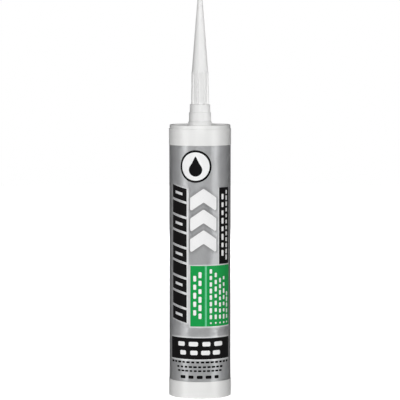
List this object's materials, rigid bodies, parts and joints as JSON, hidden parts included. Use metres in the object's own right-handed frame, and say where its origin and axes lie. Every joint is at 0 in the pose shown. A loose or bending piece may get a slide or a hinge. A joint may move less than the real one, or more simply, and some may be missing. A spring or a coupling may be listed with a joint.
{
  "type": "caulk tube",
  "caption": "Sealant cartridge: white barrel with a silver wrap label, screw-on ribbed cone nozzle, and a sliding plunger behind the sealant.",
  "frame": {"origin": "centre of the open rear rim, on the plane the tube stands on", "axes": "+Z along the barrel to the nozzle's tip, -Y out of the label's printed front, +X to the right as the label is read"},
  "size_m": [0.05, 0.05, 0.3192],
  "materials": {
    "white_barrel_plastic": "satin moulded polyethylene",
    "white_nozzle_plastic": "satin moulded polyethylene, slightly waxy",
    "plunger_plastic": "natural polyethylene",
    "seal_film": "thin foil",
    "sealant_paste": "smooth wet paste",
    "silver_label_film": "silver-grey printed film, satin",
    "white_ink": "printed film",
    "black_ink": "printed film",
    "green_ink": "printed film"
  },
  "bodies": {
    "barrel": {"cartridge": "white_barrel_plastic", "foil_seal": "seal_film", "sealant": "sealant_paste", "label": "silver_label_film", "print_black": "black_ink", "print_green": "green_ink", "print_white": "white_ink"},
    "nozzle": {"nozzle": "white_nozzle_plastic"},
    "plunger": {"plunger": "plunger_plastic"}
  },
  "joints": [
    {"name": "plunger_slide", "type": "slide", "parent": "barrel", "child": "plunger", "axis": [0, 0, 1], "range_m": [0, 0.1729], "deforming": ["sealant"]},
    {"name": "nozzle_lift", "type": "slide", "parent": "barrel", "child": "nozzle", "axis": [0, 0, 1], "range_m": [0, 0.1]}
  ]
}
